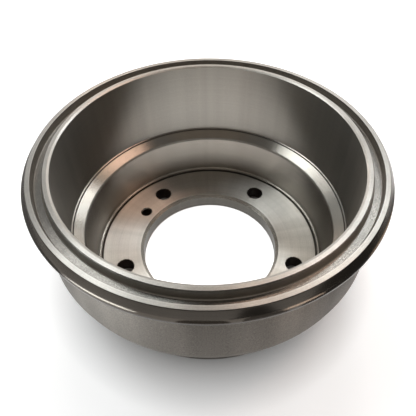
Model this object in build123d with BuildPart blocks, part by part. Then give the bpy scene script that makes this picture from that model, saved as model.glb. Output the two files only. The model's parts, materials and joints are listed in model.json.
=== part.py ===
"""Brake drum of a light truck: one turned grey-iron casting, mouth up and mounting face down.

The origin is the centre of the outer mounting face. +Z is the axle line, towards the mouth.
Lengths are in millimetres and angles in degrees.
"""
import os
from math import cos, radians, tan

from build123d import *

# ---- overall: every other radius steps out or in from the friction face ----
overall_height = 175.0
friction_diameter = 320.0

# ---- mouth: inner lip, labyrinth groove and outer lip ----
mouth_chamfer_width = 2.3
mouth_chamfer_depth = 1.0
inner_lip_width = 4.1
groove_width = 11.6
groove_depth = 10.0
groove_inner_draft = 2.2
groove_outer_draft = 1.0
groove_corner_chamfer = 0.8
outer_lip_width = 4.9
outer_lip_drop = 1.35

# ---- stiffening rim round the mouth ----
rim_flare = 5.9
rim_chamfer = 1.0
rim_crown_depth = 12.1
rim_crown_height = 10.0
rim_crown_sag = 1.5
rim_underside_height = 6.0
rim_toe_chamfer = 0.8
neck_end_depth = 35.5
neck_step_width = 0.8
neck_step_height = 0.8

# ---- friction ring and the sloping web behind it ----
friction_depth = 95.5
friction_ring_thickness = 20.1
web_width = 14.75
web_slope = 29.5
relief_offset = 1.5
relief_width = 1.4
relief_depth = 0.6
body_foot_drop = 6.0
body_draft_length = 13.5
body_draft = 14.0
body_corner_chamfer = 2.5
web_corner_chamfer = 5.0

# ---- hat: pocket, wall and mounting flange ----
flange_thickness = 19.5
flange_reach = 76.0
pocket_draft = 7.0
pocket_edge_chamfer = 1.5
pocket_foot_width = 3.4
pocket_foot_height = 4.6
seat_relief_width = 2.5
seat_relief_depth = 0.7
seat_relief_step = 1.0
hat_wall_thickness = 9.5
hat_edge_chamfer = 1.5

# ---- bore and holes in the mounting flange ----
bore_mouth_chamfer = 3.6
bore_back_chamfer = 1.5
stud_count = 5
stud_setback = 25.0
stud_hole_diameter = 21.0
stud_hole_edge_break = 0.5
first_stud_angle = -90.0
jack_count = 2
jack_setback = 17.4
jack_hole_diameter = 12.5
jack_hole_chamfer = 1.25
first_jack_angle = 147.0

# ---- heights, up from the outer mounting face ----
mouth_z = overall_height
outer_lip_z = mouth_z - outer_lip_drop
groove_z = mouth_z - groove_depth
rim_crown_z = mouth_z - rim_crown_depth
rim_shoulder_z = rim_crown_z + rim_crown_height / 2
rim_toe_z = rim_crown_z - rim_crown_height / 2
rim_foot_z = rim_toe_z - rim_underside_height
neck_z = mouth_z - neck_end_depth
friction_end_z = mouth_z - friction_depth
body_foot_z = friction_end_z - body_foot_drop
body_corner_z = body_foot_z + body_draft_length
seat_z = flange_thickness

# ---- radii ----
friction_r = friction_diameter / 2
inner_lip_inner_r = friction_r + mouth_chamfer_width
inner_lip_outer_r = inner_lip_inner_r + inner_lip_width
outer_lip_inner_r = inner_lip_outer_r + groove_width
outer_lip_outer_r = outer_lip_inner_r + outer_lip_width
rim_r = outer_lip_outer_r + rim_flare
body_r = friction_r + friction_ring_thickness
neck_r = body_r + neck_step_width
body_foot_r = body_r - body_draft_length * tan(radians(body_draft))
pocket_r = friction_r - web_width
bore_r = friction_r - flange_reach
stud_circle_r = bore_r + stud_setback
jack_circle_r = bore_r + jack_setback

# ---- pocket: its drafted wall runs from the web's edge down to the foot above the seat ----
web_rise = tan(radians(web_slope))
pocket_taper = tan(radians(pocket_draft))
web_edge_z = friction_end_z - web_width * web_rise
seat_relief_z = seat_z + seat_relief_step
pocket_foot_z = seat_relief_z + pocket_foot_height
pocket_foot_r = pocket_r - (web_edge_z - pocket_foot_z) * pocket_taper
seat_relief_r = pocket_foot_r - pocket_foot_width
seat_r = seat_relief_r - seat_relief_width

# ---- hat: its outside follows the pocket's draft up to the back of the web ----
hat_foot_r = pocket_r - web_edge_z * pocket_taper + hat_wall_thickness / cos(radians(pocket_draft))
web_back_at_axis_z = body_foot_z - body_foot_r * web_rise
hat_shoulder_r = (hat_foot_r + web_back_at_axis_z * pocket_taper) / (1 - web_rise * pocket_taper)
hat_shoulder_z = web_back_at_axis_z + hat_shoulder_r * web_rise


def corners(sketch, *points):
    """The sketch's vertices nearest to the given radius and height pairs."""
    return [sketch.vertices().sort_by_distance((radius, height, 0))[0] for radius, height in points]


def circles(part, radius, height):
    """The part's circular edges of one radius in one plane across the axle line."""
    return part.edges().filter_by(
        lambda edge: edge.geom_type == GeomType.CIRCLE
        and abs(edge.radius - radius) < 0.001
        and abs(edge.arc_center.Z - height) < 0.001
    )


with BuildPart() as brake_drum:
    # Outside of the hat, web and friction ring, turned as a solid blank.
    with BuildSketch(Plane.XZ) as blank:
        with BuildLine():
            Polyline(
                (0, 0),
                (hat_foot_r, 0),
                (hat_shoulder_r, hat_shoulder_z),
                (body_foot_r, body_foot_z),
                (body_r, body_corner_z),
                (body_r, neck_z - neck_step_height),
                (neck_r, neck_z),
                (neck_r, groove_z),
                (inner_lip_outer_r, groove_z),
                (inner_lip_outer_r, mouth_z),
                (0, mouth_z),
                close=True,
            )
        make_face()
        chamfer(corners(blank, (hat_foot_r, 0)), hat_edge_chamfer)
        chamfer(corners(blank, (hat_shoulder_r, hat_shoulder_z)), web_corner_chamfer)
        chamfer(corners(blank, (body_foot_r, body_foot_z)), body_corner_chamfer)
    revolve(axis=Axis.Z)

    # Stiffening rim: a lip on top, a flare and a rounded crown, undercut back to the neck.
    with BuildSketch(Plane.XZ) as rim:
        with BuildLine():
            Polyline(
                (rim_r - rim_crown_sag, rim_toe_z),
                (neck_r, rim_foot_z),
                (inner_lip_outer_r, rim_foot_z),
                (inner_lip_outer_r, outer_lip_z),
                (outer_lip_outer_r, outer_lip_z),
                (outer_lip_outer_r + rim_chamfer, outer_lip_z - rim_chamfer),
                (rim_r - rim_crown_sag, rim_shoulder_z),
            )
            ThreePointArc(
                (rim_r - rim_crown_sag, rim_shoulder_z),
                (rim_r, rim_crown_z),
                (rim_r - rim_crown_sag, rim_toe_z),
            )
        make_face()
        chamfer(corners(rim, (rim_r - rim_crown_sag, rim_toe_z)), rim_toe_chamfer)
    revolve(axis=Axis.Z)

    # Labyrinth groove between the two lips, where the backing plate's edge runs.
    with BuildSketch(Plane.XZ) as groove:
        with BuildLine():
            Polyline(
                (inner_lip_outer_r, mouth_z),
                (inner_lip_outer_r + groove_inner_draft, groove_z),
                (outer_lip_inner_r - groove_outer_draft, groove_z),
                (outer_lip_inner_r, outer_lip_z),
                (outer_lip_inner_r, mouth_z),
                close=True,
            )
        make_face()
        chamfer(
            corners(
                groove,
                (inner_lip_outer_r + groove_inner_draft, groove_z),
                (outer_lip_inner_r - groove_outer_draft, groove_z),
            ),
            groove_corner_chamfer,
        )
    revolve(axis=Axis.Z, mode=Mode.SUBTRACT)

    # Inside: chamfered mouth, friction face, sloping web, drafted pocket and flat seat.
    with BuildSketch(Plane.XZ) as inside:
        with BuildLine():
            Polyline(
                (0, seat_z),
                (seat_r, seat_z),
                (seat_r, seat_z - seat_relief_depth),
                (seat_relief_r, seat_z - seat_relief_depth),
                (seat_relief_r, seat_relief_z),
                (pocket_foot_r, pocket_foot_z),
                (pocket_r, web_edge_z),
                (friction_r, friction_end_z),
                (friction_r, mouth_z - mouth_chamfer_depth),
                (inner_lip_inner_r, mouth_z),
                (0, mouth_z),
                close=True,
            )
        make_face()
        chamfer(corners(inside, (pocket_r, web_edge_z)), pocket_edge_chamfer)
    revolve(axis=Axis.Z, mode=Mode.SUBTRACT)

    # Narrow relief turned into the web, just inside the end of the friction face.
    with BuildSketch(Plane.XZ):
        relief_from_corner = relief_offset + relief_width / 2
        with Locations((friction_r - relief_from_corner, friction_end_z - relief_from_corner * web_rise)):
            Rectangle(relief_width, 2 * relief_depth, rotation=web_slope)
    revolve(axis=Axis.Z, mode=Mode.SUBTRACT)

    # Bore over the hub.
    with Locations((0, 0, seat_z)):
        Hole(radius=bore_r)
    chamfer(circles(brake_drum, bore_r, seat_z), bore_mouth_chamfer)
    chamfer(circles(brake_drum, bore_r, 0), bore_back_chamfer)

    # Wheel stud holes, with their edges broken on both faces.
    with Locations((0, 0, seat_z)):
        with PolarLocations(stud_circle_r, stud_count, start_angle=first_stud_angle):
            Hole(radius=stud_hole_diameter / 2)
    chamfer(circles(brake_drum, stud_hole_diameter / 2, seat_z), stud_hole_edge_break)
    chamfer(circles(brake_drum, stud_hole_diameter / 2, 0), stud_hole_edge_break)

    # Tapped holes for the jacking screws that push the drum off its hub.
    with Locations((0, 0, seat_z)):
        with PolarLocations(jack_circle_r, jack_count, start_angle=first_jack_angle):
            Hole(radius=jack_hole_diameter / 2)
    chamfer(circles(brake_drum, jack_hole_diameter / 2, seat_z), jack_hole_chamfer)
    chamfer(circles(brake_drum, jack_hole_diameter / 2, 0), jack_hole_chamfer)

brake_drum.part.label = "brake_drum"
os.makedirs("parts", exist_ok=True)
export_step(brake_drum.part, "parts/brake_drum.step")
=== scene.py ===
import json
import math

import bmesh
import bpy
from mathutils import Matrix, Vector


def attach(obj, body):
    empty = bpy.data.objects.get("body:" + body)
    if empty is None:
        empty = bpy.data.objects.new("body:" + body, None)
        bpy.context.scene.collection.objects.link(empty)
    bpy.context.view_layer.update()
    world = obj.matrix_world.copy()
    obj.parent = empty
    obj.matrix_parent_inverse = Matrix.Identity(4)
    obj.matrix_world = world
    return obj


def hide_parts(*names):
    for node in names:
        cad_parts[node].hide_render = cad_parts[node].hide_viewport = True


# The drum's CAD section turned again, finer and in its finishes, on a pale floor in a soft studio.
# Lengths are in metres.
MM = 0.001

# ---- tolerances: TINY for rounding errors, CLOSE for places meant to be the same ----
TINY = 1e-6
CLOSE = 0.01 * MM
SEAM_DIGITS = 6

# ---- the finer turned mesh ----
TURN_STEPS = 320
SMOOTH_ANGLE = math.radians(35)
NORMAL_WEIGHT = 100

# ---- rounded corners: a corner that turns less than ARC_TURN is a step of an arc, and stays ----
ARC_TURN = math.radians(14)
CAST_RADIUS = 2.5 * MM
LIP_RADIUS = 0.5 * MM
TURNED_RADIUS = 0.2 * MM
CAST_TOP = 100.0 * MM
CAST_INNER = 144.0 * MM
FILLET_SHARE = 0.45
FILLET_STEPS = 4

# ---- cove at the pocket's foot: its lower end is the one at this radius above this height ----
COVE_FOOT_R = 136.2 * MM
COVE_FOOT_ABOVE = 20.0 * MM
COVE_START = 0.4
COVE_STEPS = 8

# ---- small holes in the mounting flange ----
HOLE_STEPS = 64
FIRST_STUD = math.radians(-90)
STUD_CHAMFER = 0.5 * MM
JACK_CHAMFER = 1.25 * MM
OVERCUT = 1 * MM

# ---- iron: which way its reflections are drawn out, and the scale and detail of its noises ----
ACROSS_TOOL_MARKS = 0.25
GRAIN = (900, 3)
STREAKS = (9, 4)
RINGS = (600, 2)
NOISE_RANGE = (0.3, 0.7)

# finish: colour, roughness, anisotropy, then how strong grain, streaks and rings are
FINISHES = {
    "body_finish": ((0.178, 0.163, 0.144), 0.47, 0.6, 0.34, 0.12, 0.06),
    "rim_finish": ((0.085, 0.075, 0.064), 0.16, 0.9, 0.04, 0.05, 0.1),
    "lip_finish": ((0.38, 0.368, 0.344), 0.33, 0.9, 0.1, 0.06, 0.12),
    "groove_finish": ((0.2, 0.186, 0.168), 0.36, 0.7, 0.2, 0.05, 0.15),
    "friction_finish": ((0.4, 0.38, 0.345), 0.3, 0.9, 0.05, 0.07, 0.04),
    "inside_finish": ((0.42, 0.392, 0.35), 0.25, 1.0, 0.04, 0.06, 0.05),
    # hole walls: a duller drilled skin, with painted shade darkening its colour
    "hole_painted_shade": ((0.08, 0.07, 0.06), 0.5, 0.0, 0.0, 0.0, 0.0),
    "bore_finish": ((0.11, 0.104, 0.093), 0.4, 0.5, 0.04, 0.1, 0.1),
    # the two reliefs and the lips' rounded outer edges: painted shade, near black
    "edge_and_relief_painted_shade": ((0.07, 0.063, 0.056), 0.5, 0.0, 0.0, 0.0, 0.0),
    "seat_finish": ((0.5, 0.475, 0.435), 0.34, 1.0, 0.06, 0.08, 0.06),
    # the rim's underside below RIM_TOE: painted shade, dark like the shaded floor near the drum
    # that it mirrors
    "toe_painted_shade": ((0.05, 0.044, 0.038), 0.25, 0.9, 0.04, 0.05, 0.1),
    "groove_floor_finish": ((0.21, 0.2, 0.184), 0.25, 0.9, 0.3, 0.05, 0.12),
}

# ---- heights where one finish ends and the next begins ----
SEAT_FACE = (19.3 * MM, 19.6 * MM)
SEAT_RELIEF_TOP = 20.2 * MM
WEB_LINE = 79.4 * MM
FRICTION_END = 79.5 * MM
RIM_FOOT = 152.0 * MM
RIM_TOE = 161.0 * MM
MOUTH_FOOT = 164.9 * MM
LIP_FOOT = 170.0 * MM

# ---- radii where one finish ends and the next begins ----
BORE_EDGE = 84.01 * MM
SEAT_RELIEF = (133.8 * MM, 136.3 * MM)
WEB_RELIEF = (156.8 * MM, 159.0 * MM)
LIP_EDGE = 165.5 * MM
BODY_INNER = 167.5 * MM
RIM_INNER = 180.0 * MM
MOUTH_OUTER = 183.1 * MM

# ---- slopes: of the web, and of a face as its normal's height ----
WEB_RISE = math.tan(math.radians(29.5))
# EDGE_TILT picks the tilts of the lips' rounded outer edges that get painted shade
EDGE_TILT = (0.2, 0.97)
LIP_TILT = 0.5
FLOOR_TILT = 0.9
WEB_BACK_TILT = -0.3

# ---- floor: its glow is full in the bore, painted light there, none under the flange, and grows again beyond it, a painted shadow round the drum ----
FLOOR_Z = -0.3 * MM
FLOOR_REACH = 6.0
FLOOR_COLOUR = (0.8, 0.8, 0.8, 1)
FLOOR_ROUGHNESS = 0.9
FLOOR_GLOW = 0.6
BORE_PAINTED_LIGHT = 1.0
FLANGE_INNER = 84 * MM
FLANGE_OUTER = 140 * MM
SHADE_WIDTH = 70 * MM

# ---- sheet between the mounting face and the floor ----
UNDER_SHEET = (84 * MM, 143.5 * MM)
UNDER_Z = (-0.2 * MM, -0.15 * MM)
UNDER_STEPS = 64
UNDER_COLOUR = (1, 0.98, 0.95)
UNDER_LEVEL = 0.8

# ---- wall and world ----
WALL_STEPS = 48
WALL_RADIUS = 2.6
WALL_FOOT = -1.6
WALL_FADE = 0.7
WALL_TOP = 1.7
WALL_LEVEL = 0.85
WORLD_COLOUR = (1, 0.97, 0.93, 1)
WORLD_LEVEL = 0.15
BELOW_LEVEL = 0.6

# ---- softboxes: parts of a big dome over the drum ----
DOME_RADIUS = 2.5
DOME_HEIGHT = 0.1
PATCH_STEP = 6
PATCH_CELLS = 2

# name, span of azimuth from +X, span of elevation (degrees), colour, strength
SOFTBOXES = [
    ("key", (61, 77), (45, 55), (0.88, 0.95, 1.0), 10.8),
    ("key_side", (40, 52), (38, 50), (1.0, 0.99, 0.97), 5.0),
    ("key_back", (72, 80.5), (40, 51), (0.85, 0.96, 1.0), 3.0),
    ("key_low", (50, 58), (32, 42), (0.97, 0.99, 1.0), 3.0),
    ("key_high", (36, 58), (52, 70), (1.0, 0.84, 0.7), 1.7),
    ("back", (70, 108), (28, 58), (1.0, 0.93, 0.86), 2.0),
    ("low_right", (57, 84), (18, 36), (1.0, 1.0, 1.0), 1.3),
    ("warm", (4, 32), (50, 70), (1.0, 0.68, 0.54), 4.0),
    ("warm_top", (68, 84), (56, 66), (1.0, 0.72, 0.58), 5.2),
    ("left_spot", (104, 116), (54, 72), (0.94, 0.99, 1.0), 4.8),
    ("left_top", (134, 166), (52, 68), (0.94, 0.99, 1.0), 6.5),
    ("left_high", (118, 134), (48, 66), (1.0, 1.0, 1.0), 3.5),
    ("left_mid", (96, 122), (37, 51), (1.0, 1.0, 0.98), 0.6),
    ("left_low", (99, 110), (29, 38), (1.0, 0.85, 0.76), 8.0),
    ("left_fill", (122, 168), (24, 46), (0.85, 0.95, 1.0), 0.4),
    ("left_side", (168, 188), (20, 60), (0.9, 0.97, 1.0), 0.5),
    ("low_left", (112, 146), (12, 24), (1.0, 1.0, 1.0), 1.5),
    ("top", (0, 360), (78, 88), (1.0, 0.8, 0.6), 0.25),
]

# ---- cards: dark flags and low strip lights, seen only in reflections ----
CARD_TAPER = 2
FLAG_NEAR = (0.28, 0.002)
FLAG_FAR = (1.2, 0.002)
FLAG_FOOT = (1.2, 0.0)
FLAG_TOP = (1.2, 0.5)

# name, span of azimuth, inner and outer (radius, height), colour, strength
CARDS = [
    ("front_flag", (256, 278), FLAG_NEAR, FLAG_FAR, (1.0, 0.9, 0.8), 0.25),
    ("floor_flag", (282, 302), FLAG_NEAR, FLAG_FAR, (1.0, 0.95, 0.9), 0.35),
    ("corner_flag", (277, 303), FLAG_FOOT, FLAG_TOP, (1.0, 0.95, 0.9), 0.12),
    ("right_floor_flag", (306, 384), FLAG_NEAR, FLAG_FAR, (1.0, 0.95, 0.9), 0.12),
    ("right_flag", (310, 372), FLAG_FOOT, FLAG_TOP, (1.0, 0.95, 0.9), 0.12),
    ("left_floor_flag", (140, 206), FLAG_NEAR, FLAG_FAR, (1.0, 0.97, 0.93), 0.25),
    ("left_strip", (204, 240), (0.50, 0.003), (0.85, 0.003), (0.93, 0.98, 1.0), 16.0),
    ("middle_strip", (300, 320), (0.50, 0.003), (0.90, 0.003), (1.0, 0.82, 0.7), 6.0),
    ("right_strip", (344, 370), (0.38, 0.003), (0.58, 0.003), (1.0, 0.76, 0.56), 1.6),
]

# ---- camera ----
CAMERA_AT = (0.0, -0.3598, 0.4888)
CAMERA_FORWARD = (0.01836, 0.66561, -0.74607)
CAMERA_ROLL = math.radians(0.485)
FOCAL_PIXELS = 460.6
IMAGE_SIDE = 416
SHIFT_X = -0.02355
SHIFT_Y = 0.0022
SENSOR = 36.0

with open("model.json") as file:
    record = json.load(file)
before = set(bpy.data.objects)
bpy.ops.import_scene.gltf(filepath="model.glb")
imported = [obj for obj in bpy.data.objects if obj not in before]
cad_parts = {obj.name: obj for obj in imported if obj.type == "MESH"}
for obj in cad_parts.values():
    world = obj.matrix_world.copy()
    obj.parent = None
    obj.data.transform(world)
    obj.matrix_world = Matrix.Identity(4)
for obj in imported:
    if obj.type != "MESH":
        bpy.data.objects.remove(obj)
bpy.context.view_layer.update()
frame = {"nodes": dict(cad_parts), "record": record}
drum = frame["nodes"]["brake_drum"]
mounts = {m["name"]: m for m in frame["record"]["mounts"]}
FRICTION_R = mounts["friction_face"]["dims"]["r_mm"] * MM


# ---------------------------------------------------------------- section
def meridian_edges(mesh):
    """The edges of the CAD mesh that lie on its seam, as pairs of (radius, height) points."""
    def point(vertex):
        return (round(vertex.co.x, SEAM_DIGITS), round(vertex.co.z, SEAM_DIGITS))

    def on_seam(vertex):
        return abs(vertex.co.y) < TINY and vertex.co.x > 0

    edges = set()
    for edge in mesh.edges:
        a, b = (mesh.vertices[i] for i in edge.vertices)
        if on_seam(a) and on_seam(b) and point(a) != point(b):
            edges.add(frozenset((point(a), point(b))))
    return edges


def closed_section(mesh):
    """The turned section as a loop of (radius, height) points.

    A flat has no edge on the seam, so it is closed straight across its ring. Where its two loose
    ends differ in height, the 45 degree chamfer between them has no edge there either.
    """
    links = {}
    for a, b in meridian_edges(mesh):
        links.setdefault(a, []).append(b)
        links.setdefault(b, []).append(a)
    loose = sorted((z, r) for (r, z), ends in links.items() if len(ends) == 1)
    for (z0, r0), (z1, r1) in zip(loose[::2], loose[1::2]):
        corner = (r1 + z1 - z0, z0) if z1 > z0 else (r1, z1)
        links[(r0, z0)].append(corner)
        links.setdefault(corner, []).append((r0, z0))
        if corner != (r1, z1):
            links[corner].append((r1, z1))
            links[(r1, z1)].append(corner)
    start = min(links)
    loop, before = [start], None
    while True:
        here = loop[-1]
        onward = [p for p in links[here] if p != before]
        before = here
        if onward[0] == start:
            return [Vector(p) for p in loop]
        loop.append(onward[0])


def arc(start, middle, end, steps):
    """Points along a curve that leaves start towards middle and reaches end coming from it."""
    ts = [k / steps for k in range(steps + 1)]
    return [(1 - t) ** 2 * start + 2 * t * (1 - t) * middle + t * t * end for t in ts]


def with_pocket_cove(loop):
    """The loop with the chamfer at the pocket's foot hollowed to the cove it stands for."""
    foot = next(
        i for i, p in enumerate(loop) if abs(p[0] - COVE_FOOT_R) < CLOSE and p[1] > COVE_FOOT_ABOVE
    )
    low, high, above = loop[foot], loop[foot + 1], loop[foot + 2]
    slope = (above[0] - high[0]) / (above[1] - high[1])
    root = Vector((high[0] + (low[1] - high[1]) * slope, low[1]))
    start, end = low.lerp(root, COVE_START), high.lerp(root, COVE_START)
    return loop[:foot + 1] + arc(start, root, end, COVE_STEPS) + loop[foot + 1:]


def corner_radius(corner):
    """Generous on the cast outside of the hat and web, smaller on the rim, least elsewhere."""
    radius, height = corner
    if height < CAST_TOP and radius > CAST_INNER:
        return CAST_RADIUS
    if height > CAST_TOP and radius > FRICTION_R + CLOSE:
        return LIP_RADIUS
    return TURNED_RADIUS


def softened(loop):
    """The loop with each corner replaced by a small arc; the steps of drawn arcs stay."""
    points = []
    count = len(loop)
    for i, corner in enumerate(loop):
        back = loop[i - 1] - corner
        ahead = loop[(i + 1) % count] - corner
        turn = math.pi - back.angle(ahead)
        if turn < ARC_TURN:
            points.append(corner)
            continue
        longest = FILLET_SHARE * min(back.length, ahead.length)
        reach = min(corner_radius(corner) * math.tan(turn / 2), longest)
        start = corner + back.normalized() * reach
        end = corner + ahead.normalized() * reach
        points += arc(start, corner, end, FILLET_STEPS)
    return points


# ---------------------------------------------------------------- mesh
def polar(radius, angle):
    """X and Y of a point at a radius and an angle."""
    return radius * math.cos(angle), radius * math.sin(angle)


def full_turn(steps):
    """The angles of so many equal steps round a circle."""
    return [2 * math.pi * k / steps for k in range(steps)]


def evenly(span, steps):
    """The angles, in radians, of so many equal steps over a span in degrees, both ends included."""
    first, last = span
    return [math.radians(first + (last - first) * k / steps) for k in range(steps + 1)]


def quads(lines, count, joined=False, looped=False, flipped=False):
    """Faces between neighbouring lines of vertices, with the same count in each line.

    joined adds those between the last line and the first, looped those between a line's ends.
    flipped turns the faces over.
    """
    faces = []
    for line in range(lines if joined else lines - 1):
        here, there = line * count, (line + 1) % lines * count
        for i in range(count if looped else count - 1):
            j = (i + 1) % count
            face = (here + i, there + i, there + j, here + j)
            faces.append((face[0], *reversed(face[1:])) if flipped else face)
    return faces


def add_mesh(name, verts, faces):
    """A new object in the scene, made of the vertices and faces."""
    mesh = bpy.data.meshes.new(name)
    mesh.from_pydata(verts, [], faces)
    mesh.update()
    added = bpy.data.objects.new(name, mesh)
    bpy.context.scene.collection.objects.link(added)
    return added


def lathe(points, steps, name):
    """A closed loop of (radius, height) points turned about Z."""
    verts = [(*polar(p[0], a), p[1]) for a in full_turn(steps) for p in points]
    piece = add_mesh(name, verts, quads(steps, len(points), joined=True, looped=True))
    bm = bmesh.new()
    bm.from_mesh(piece.data)
    bmesh.ops.recalc_face_normals(bm, faces=bm.faces)
    bm.to_mesh(piece.data)
    bm.free()
    return piece


def hole_cutter(x, y, radius, chamfer, thickness):
    """A plug the shape of a through hole with both edges chamfered, flared past both faces."""
    flare = radius + chamfer + OVERCUT
    profile = [
        (flare, -OVERCUT),
        (radius, chamfer),
        (radius, thickness - chamfer),
        (flare, thickness + OVERCUT),
    ]
    verts = []
    for r, z in profile:
        for a in full_turn(HOLE_STEPS):
            across, along = polar(r, a)
            verts.append((x + across, y + along, z))
    faces = quads(len(profile), HOLE_STEPS, looped=True, flipped=True)
    faces.append(tuple(reversed(range(HOLE_STEPS))))
    faces.append(tuple(range(len(verts) - HOLE_STEPS, len(verts))))
    return add_mesh("cutter", verts, faces)


def cut(piece, cutter):
    """Cuts one object out of another and removes the cutter."""
    step = piece.modifiers.new("cut", "BOOLEAN")
    step.operation = "DIFFERENCE"
    step.solver = "EXACT"
    step.object = cutter
    graph = bpy.context.evaluated_depsgraph_get()
    result = bpy.data.meshes.new_from_object(piece.evaluated_get(graph))
    piece.modifiers.clear()
    piece.data = result
    bpy.data.objects.remove(cutter)


def hole_places():
    """Centre, radius and chamfer of each small hole in the mounting flange."""
    studs = mounts["wheel_studs"]["dims"]
    places = []
    for a in full_turn(studs["count"]):
        x, y = polar(studs["pcd_mm"] * MM / 2, FIRST_STUD + a)
        places.append((x, y, studs["hole_r_mm"] * MM, STUD_CHAMFER))
    for name in ("jack_hole_left", "jack_hole_right"):
        x, y, _ = mounts[name]["pos_m"]
        places.append((x, y, mounts[name]["dims"]["r_mm"] * MM, JACK_CHAMFER))
    return places


def drill(piece):
    """Cuts the small holes, with both their edges, through the piece."""
    thickness = mounts["hub_seat"]["pos_m"][2]
    for x, y, radius, chamfer in hole_places():
        cut(piece, hole_cutter(x, y, radius, chamfer, thickness))


def make_drum():
    """The drum turned from the CAD mesh's own section, finer and with its edges rounded."""
    section = softened(with_pocket_cove(closed_section(drum.data)))
    piece = lathe(section, TURN_STEPS, "turned_drum")
    drill(piece)
    return piece


# ---------------------------------------------------------------- nodes
def feed(tree, socket, value):
    """Links another node's output to the socket, or sets the socket to a plain value."""
    if isinstance(value, bpy.types.NodeSocket):
        tree.links.new(value, socket)
    else:
        socket.default_value = value


def compute(tree, kind, operation, *values):
    """The outputs of a math node fed with plain values or other nodes' outputs."""
    node = tree.nodes.new(kind)
    node.operation = operation
    for socket, value in zip(node.inputs, values):
        feed(tree, socket, value)
    return node.outputs


def number_math(tree, operation, *values):
    """The result of a math node on numbers."""
    return compute(tree, "ShaderNodeMath", operation, *values)[0]


def vector_math(tree, operation, *values):
    """The resulting vector of a math node on vectors."""
    return compute(tree, "ShaderNodeVectorMath", operation, *values)["Vector"]


def length_of(tree, value):
    """The length of a vector."""
    return compute(tree, "ShaderNodeVectorMath", "LENGTH", value)["Value"]


def map_range(tree, value, inputs, outputs, interpolation="LINEAR"):
    """The value carried over from one range of numbers to another, and level beyond its ends."""
    node = tree.nodes.new("ShaderNodeMapRange")
    node.interpolation_type = interpolation
    for label, limit in zip(("From Min", "From Max", "To Min", "To Max"), (*inputs, *outputs)):
        node.inputs[label].default_value = limit
    tree.links.new(value, node.inputs["Value"])
    return node.outputs[0]


def height_of(tree, place):
    """The third coordinate of a place or direction."""
    apart = tree.nodes.new("ShaderNodeSeparateXYZ")
    tree.links.new(place, apart.inputs[0])
    return apart.outputs[2]


# ---------------------------------------------------------------- finish
def varied(tree, coordinates, scale, detail, spread):
    """A factor near one from noise over the given coordinates, spread either side."""
    noise = tree.nodes.new("ShaderNodeTexNoise")
    noise.inputs["Scale"].default_value = scale
    noise.inputs["Detail"].default_value = detail
    tree.links.new(coordinates, noise.inputs["Vector"])
    return map_range(tree, noise.outputs["Fac"], NOISE_RANGE, (1 - spread, 1 + spread))


def iron(name, colour, roughness, anisotropic, grain, streaks, rings):
    """Turned iron: reflections drawn out across the tool marks, with speckle, streaks and rings."""
    mat = bpy.data.materials.new(name)
    mat.use_nodes = True
    tree = mat.node_tree
    shader = tree.nodes["Principled BSDF"]
    shader.inputs["Metallic"].default_value = 1.0
    shader.inputs["Roughness"].default_value = roughness
    shader.inputs["Anisotropic"].default_value = anisotropic
    shader.inputs["Anisotropic Rotation"].default_value = ACROSS_TOOL_MARKS
    tangent = tree.nodes.new("ShaderNodeTangent")
    tangent.direction_type = "RADIAL"
    tangent.axis = "Z"
    tree.links.new(tangent.outputs[0], shader.inputs["Tangent"])
    place = tree.nodes.new("ShaderNodeTexCoord").outputs["Object"]
    outward = vector_math(tree, "MULTIPLY", place, (1, 1, 0))
    section = tree.nodes.new("ShaderNodeCombineXYZ")
    tree.links.new(length_of(tree, outward), section.inputs[0])
    tree.links.new(height_of(tree, place), section.inputs[1])
    shade = colour
    for coordinates, (scale, detail), spread in (
        (place, GRAIN, grain),
        (vector_math(tree, "NORMALIZE", outward), STREAKS, streaks),
        (section.outputs[0], RINGS, rings),
    ):
        tint = tree.nodes.new("ShaderNodeVectorMath")
        tint.operation = "SCALE"
        feed(tree, tint.inputs[0], shade)
        factor = varied(tree, coordinates, scale, detail, spread)
        tree.links.new(factor, tint.inputs["Scale"])
        shade = tint.outputs[0]
    tree.links.new(shade, shader.inputs["Base Color"])
    return mat


def in_hole(point, holes):
    """True on the wall of a small hole, whose drilled skin is duller and whose colour is darkened
    as painted shade.
    """
    return any(math.hypot(point.x - x, point.y - y) < r + CLOSE for x, y, r, _ in holes)


def in_relief(r, z):
    """True down in the two narrow reliefs, which catch no light and are coloured near black as
    painted shade.
    """
    seat = SEAT_RELIEF[0] < r < SEAT_RELIEF[1] and z < SEAT_RELIEF_TOP
    web = WEB_RELIEF[0] < r < WEB_RELIEF[1] and z < WEB_LINE - (FRICTION_R - r) * WEB_RISE
    return seat or web


def mouth_finish(r, z, up, inward):
    """The name of the finish on the lips, the painted shade along their outer edges and the groove
    between them.
    """
    # the rounded outer edges of the lips get painted shade: dark lines standing in for shade
    if z > LIP_FOOT and r > LIP_EDGE and EDGE_TILT[0] < up < EDGE_TILT[1]:
        return "edge_and_relief_painted_shade"
    if z > LIP_FOOT and up > LIP_TILT:
        return "lip_finish"
    if up > FLOOR_TILT:
        return "groove_floor_finish"
    return "groove_finish" if inward else "friction_finish"


def finish_on(face, holes):
    """The name of the finish on one face of the drum, by where it lies and which way it looks."""
    center, normal = face.center, face.normal
    r, z = math.hypot(center.x, center.y), center.z
    inward = normal.x * center.x + normal.y * center.y < -TINY * r
    # the walls of the small holes get painted shade
    if in_hole(center, holes):
        return "hole_painted_shade"
    if r < BORE_EDGE:
        return "bore_finish"
    if SEAT_FACE[0] < z < SEAT_FACE[1]:
        return "seat_finish"
    # the two reliefs get painted shade
    if in_relief(r, z):
        return "edge_and_relief_painted_shade"
    if z > MOUTH_FOOT and FRICTION_R + CLOSE < r < MOUTH_OUTER:
        return mouth_finish(r, z, normal.z, inward)
    if z > RIM_FOOT and r > RIM_INNER:
        # below RIM_TOE the rim's colour is painted shade
        return "rim_finish" if z > RIM_TOE else "toe_painted_shade"
    if r > BODY_INNER or (z < FRICTION_END and (not inward or normal.z < WEB_BACK_TILT)):
        return "body_finish"
    return "friction_finish" if inward and z > FRICTION_END else "inside_finish"


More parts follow.
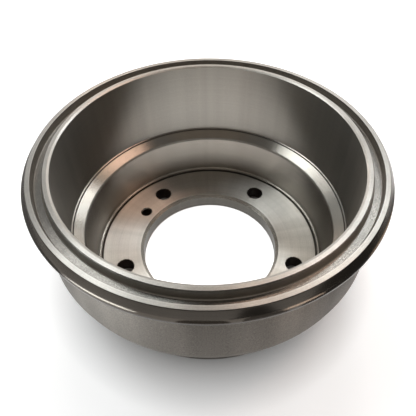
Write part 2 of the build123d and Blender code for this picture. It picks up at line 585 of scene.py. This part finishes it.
def finish_drum(piece):
    """Gives each face of the drum its finish, and smooths the shading between sharp edges."""
    piece.data.materials.clear()
    for name, values in FINISHES.items():
        piece.data.materials.append(iron(name, *values))
    slots = {name: slot for slot, name in enumerate(FINISHES)}
    holes = hole_places()
    for face in piece.data.polygons:
        face.material_index = slots[finish_on(face, holes)]
        face.use_smooth = True
    piece.data.set_sharp_from_angle(angle=SMOOTH_ANGLE)
    weighted = piece.modifiers.new("normals", "WEIGHTED_NORMAL")
    weighted.keep_sharp = True
    weighted.weight = NORMAL_WEIGHT


# ---------------------------------------------------------------- stage
def paint(name, colour, strength):
    """A plain emissive material."""
    mat = bpy.data.materials.new(name)
    mat.use_nodes = True
    nodes, links = mat.node_tree.nodes, mat.node_tree.links
    nodes.clear()
    glow = nodes.new("ShaderNodeEmission")
    glow.inputs["Color"].default_value = (*colour, 1)
    glow.inputs["Strength"].default_value = strength
    out = nodes.new("ShaderNodeOutputMaterial")
    links.new(glow.outputs[0], out.inputs["Surface"])
    return mat


def add_unseen(piece, mat, lights):
    """Puts a piece on the stage that only reflections show; lights says if it also gives light."""
    piece.visible_camera = False
    piece.visible_shadow = False
    piece.visible_diffuse = lights
    piece.data.materials.append(mat)


def dome_patch(name, azimuths, elevations, colour, strength):
    """A softbox: part of a big dome round the drum, seen only in reflections and as light."""
    cols = max(PATCH_CELLS, round((azimuths[1] - azimuths[0]) / PATCH_STEP))
    rows = max(PATCH_CELLS, round((elevations[1] - elevations[0]) / PATCH_STEP))
    verts = []
    for e in evenly(elevations, rows):
        for a in evenly(azimuths, cols):
            along = Vector((*polar(math.cos(e), a), math.sin(e)))
            verts.append(along * DOME_RADIUS)
    patch = add_mesh(name, verts, quads(rows + 1, cols + 1, flipped=True))
    patch.location = (0, 0, DOME_HEIGHT)
    add_unseen(patch, paint(name, colour, strength), lights=True)


def card(name, azimuths, inner, outer, colour, strength):
    """Part of a ring round the drum, one step a degree, that tapers to nothing at both ends."""
    steps = azimuths[1] - azimuths[0]
    verts = []
    for j, a in enumerate(evenly(azimuths, steps)):
        reach = 1 - abs(2 * j / steps - 1) ** CARD_TAPER
        edge = [start + (end - start) * reach for start, end in zip(inner, outer)]
        verts += [(*polar(r, a), z) for r, z in (inner, edge)]
    sheet = add_mesh(name, verts, quads(steps + 1, 2))
    add_unseen(sheet, paint(name, colour, strength), lights=False)


def under_sheet():
    """A pale ring just under the mounting face, open at the holes: the face mirrors it."""
    inner, outer = UNDER_SHEET
    bottom, top = UNDER_Z
    section = [(inner, bottom), (outer, bottom), (outer, top), (inner, top)]
    sheet = lathe(section, UNDER_STEPS, "under_sheet")
    drill(sheet)
    add_unseen(sheet, paint("under_sheet", UNDER_COLOUR, UNDER_LEVEL), lights=False)


def floor_glow(tree, place):
    """The floor's own glow, only in sight and in reflections: painted light in the bore, none under
    the flange and fading in round the drum as a painted shadow.
    """
    distance = length_of(tree, place)
    edge_of_shade = (FLANGE_OUTER, FLANGE_OUTER + SHADE_WIDTH)
    # the glow is nil under the flange and grows over SHADE_WIDTH beyond it: a painted shadow round
    # the drum
    outside = map_range(tree, distance, edge_of_shade, (0, FLOOR_GLOW))
    inside = number_math(tree, "LESS_THAN", distance, FLANGE_INNER)
    # the floor in the bore glows at full strength: painted light inside the drum
    glow = number_math(tree, "MULTIPLY_ADD", inside, BORE_PAINTED_LIGHT, outside)
    rays = tree.nodes.new("ShaderNodeLightPath").outputs
    seen = number_math(tree, "MAXIMUM", rays["Is Camera Ray"], rays["Is Transmission Ray"])
    seen = number_math(tree, "MAXIMUM", seen, rays["Is Glossy Ray"])
    return number_math(tree, "MULTIPLY", seen, glow)


def pale_floor():
    """A matt white floor that keeps the drum's shadow, and that a view from below looks through."""
    corners = [(-1, -1), (1, -1), (1, 1), (-1, 1)]
    verts = [(x * FLOOR_REACH, y * FLOOR_REACH, FLOOR_Z) for x, y in corners]
    floor = add_mesh("floor", verts, [(0, 1, 2, 3)])
    mat = bpy.data.materials.new("floor_paint")
    mat.use_nodes = True
    tree = mat.node_tree
    shader = tree.nodes["Principled BSDF"]
    shader.inputs["Base Color"].default_value = FLOOR_COLOUR
    shader.inputs["Roughness"].default_value = FLOOR_ROUGHNESS
    shader.inputs["Specular IOR Level"].default_value = 0.0
    shader.inputs["Emission Color"].default_value = (1, 1, 1, 1)
    surface = tree.nodes.new("ShaderNodeNewGeometry").outputs
    glow = floor_glow(tree, surface["Position"])
    tree.links.new(glow, shader.inputs["Emission Strength"])
    open_below = tree.nodes.new("ShaderNodeMixShader")
    clear = tree.nodes.new("ShaderNodeBsdfTransparent")
    tree.links.new(surface["Backfacing"], open_below.inputs[0])
    tree.links.new(shader.outputs[0], open_below.inputs[1])
    tree.links.new(clear.outputs[0], open_below.inputs[2])
    tree.links.new(open_below.outputs[0], tree.nodes["Material Output"].inputs["Surface"])
    floor.data.materials.append(mat)


def back_wall():
    """A pale wall all round, behind the floor, darkening towards its top."""
    verts = [
        (*polar(WALL_RADIUS, a), z) for a in full_turn(WALL_STEPS) for z in (WALL_FOOT, WALL_TOP)
    ]
    wall = add_mesh("wall", verts, quads(WALL_STEPS, 2, joined=True))
    mat = paint("wall_paint", (1, 1, 1), WALL_LEVEL)
    tree = mat.node_tree
    place = tree.nodes.new("ShaderNodeNewGeometry").outputs["Position"]
    fade = map_range(
        tree,
        height_of(tree, place),
        (WALL_FADE, WALL_TOP),
        (WALL_LEVEL, WORLD_LEVEL),
        "SMOOTHSTEP",
    )
    tree.links.new(fade, tree.nodes["Emission"].inputs["Strength"])
    wall.data.materials.append(mat)


def world_light():
    """A dim warm world, paler below the horizon so that the underside has something to mirror."""
    world = bpy.data.worlds.new("studio")
    bpy.context.scene.world = world
    world.use_nodes = True
    tree = world.node_tree
    back = tree.nodes["Background"]
    back.inputs["Color"].default_value = WORLD_COLOUR
    direction = tree.nodes.new("ShaderNodeTexCoord").outputs["Generated"]
    below = number_math(tree, "LESS_THAN", height_of(tree, direction), 0.0)
    level = number_math(tree, "MULTIPLY_ADD", below, BELOW_LEVEL, WORLD_LEVEL)
    tree.links.new(level, back.inputs["Strength"])


def make_camera():
    """The camera at the photo's angle, with the photo's framing as a small shift."""
    data = bpy.data.cameras.new("camera")
    data.sensor_width = SENSOR
    data.lens = FOCAL_PIXELS / IMAGE_SIDE * SENSOR
    data.shift_x = SHIFT_X
    data.shift_y = SHIFT_Y
    camera = bpy.data.objects.new("camera", data)
    bpy.context.scene.collection.objects.link(camera)
    turn = Vector(CAMERA_FORWARD).to_track_quat("-Z", "Y").to_matrix().to_4x4()
    roll = Matrix.Rotation(CAMERA_ROLL, 4, "Z")
    camera.matrix_world = Matrix.Translation(CAMERA_AT) @ turn @ roll
    bpy.context.scene.camera = camera


piece = make_drum()
finish_drum(piece)
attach(piece, "root")
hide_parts("brake_drum")
pale_floor()
under_sheet()
back_wall()
world_light()
for softbox in SOFTBOXES:
    dome_patch(*softbox)
for flag_or_strip in CARDS:
    card(*flag_or_strip)
make_camera()
bpy.context.scene.view_settings.view_transform = "Standard"
